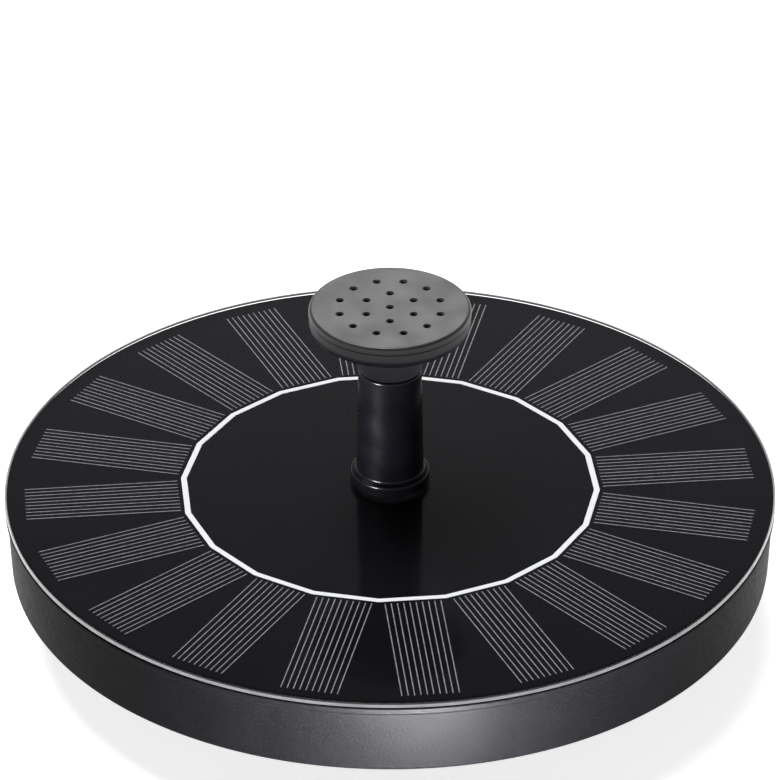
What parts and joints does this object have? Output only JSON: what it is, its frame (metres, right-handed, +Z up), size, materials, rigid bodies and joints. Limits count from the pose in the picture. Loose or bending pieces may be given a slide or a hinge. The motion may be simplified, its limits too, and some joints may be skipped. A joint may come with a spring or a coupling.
{
  "type": "floating solar fountain pump",
  "caption": "Round black float with a radial solar panel on top, a small submersible pump beneath and an upright nozzle with a mushroom-shaped spray head.",
  "frame": {"origin": "on the underside of the strainer's foot ring, below the middle of the float, which is the middle of the bounding box's base", "axes": "+Z up, along the riser and the nozzle; +Y towards the side of the float that the pump's axis is on; +X to the right of that"},
  "size_m": [0.16, 0.16, 0.0726],
  "materials": {
    "black_shell": "black ABS with a fine sparked texture",
    "black_board": "black solder mask",
    "clear_resin": "clear glossy cast resin",
    "silicon": "near-black silicon with fine grey contact fingers",
    "white_ribbon": "bright white ribbon",
    "black_gloss": "polished black moulding",
    "black_satin": "satin black moulding",
    "black_pump": "plain black moulding",
    "black_rubber": "black nitrile rubber",
    "white_impeller": "natural white acetal",
    "ferrite": "dark sintered ferrite",
    "ceramic": "ground off-white ceramic",
    "lamination": "stacked silicon steel sheets",
    "copper": "enamelled copper wire",
    "steel": "plain stainless steel",
    "aluminium": "drawn aluminium can",
    "green_board": "green solder mask",
    "epoxy_black": "moulded black epoxy",
    "purple_lead": "purple insulation",
    "red_lead": "red insulation",
    "black_lead": "black insulation"
  },
  "bodies": {
    "float": {"float_wall": "black_shell", "float_base": "black_shell", "panel_board": "black_board", "panel_cover": "clear_resin", "panel_seal": "black_rubber", "riser_seal": "black_rubber", "bus_ribbon": "white_ribbon", "pump_body": "black_pump", "volute_seal": "black_rubber", "shaft": "ceramic", "shaft_seat_upper": "black_rubber", "stator_core": "lamination", "stator_coil_1": "copper", "stator_coil_2": "copper", "stator_coil_3": "copper", "stator_coil_4": "copper", "hall_sensor": "epoxy_black", "driver_board": "green_board", "driver_chip": "epoxy_black", "blocking_diode": "epoxy_black", "smoothing_capacitor": "aluminium", "lead_positive": "red_lead", "lead_negative": "black_lead", "phase_lead_1": "purple_lead", "phase_lead_2": "purple_lead", "pump_screw_1": "steel", "pump_screw_2": "steel", "pump_screw_3": "steel", "flange_gasket": "black_rubber", "solar_cell_01": "silicon", "solar_cell_02": "silicon", "solar_cell_03": "silicon", "solar_cell_04": "silicon", "solar_cell_05": "silicon", "solar_cell_06": "silicon", "solar_cell_07": "silicon", "solar_cell_08": "silicon", "solar_cell_09": "silicon", "solar_cell_10": "silicon", "solar_cell_11": "silicon", "solar_cell_12": "silicon", "solar_cell_13": "silicon", "solar_cell_14": "silicon", "solar_cell_15": "silicon", "solar_cell_16": "silicon", "solar_cell_17": "silicon", "solar_cell_18": "silicon", "solar_cell_19": "silicon", "solar_cell_20": "silicon"},
    "rotor": {"impeller": "white_impeller", "rotor_magnet": "ferrite", "rotor_bush": "ceramic"},
    "nozzle": {"nozzle_stem": "black_gloss"},
    "spray_head": {"head_cup": "black_satin", "spray_plate": "black_satin"},
    "strainer": {"strainer_cover": "black_pump"},
    "pump_cover": {"volute_cover": "black_pump", "shaft_seat_lower": "black_rubber", "thrust_washer": "ceramic"}
  },
  "joints": [
    {"name": "impeller_spin", "type": "hinge", "parent": "float", "child": "rotor", "pos_m": [-0.0067, 0.01853, 0.0087], "axis": [0, 0, 1], "continuous": true},
    {"name": "nozzle_pull", "type": "slide", "parent": "float", "child": "nozzle", "axis": [0, 0, 1], "range_m": [0, 0.02]},
    {"name": "head_pull", "type": "slide", "parent": "nozzle", "child": "spray_head", "axis": [0, 0, 1], "range_m": [0, 0.015]},
    {"name": "strainer_pull", "type": "slide", "parent": "float", "child": "strainer", "axis": [0, 0, -1], "range_m": [0, 0.025]},
    {"name": "cover_twist", "type": "hinge", "parent": "float", "child": "pump_cover", "pos_m": [-0.0067, 0.01853, 0.0051], "axis": [0, 0, 1], "range_deg": [0, 30]}
  ]
}
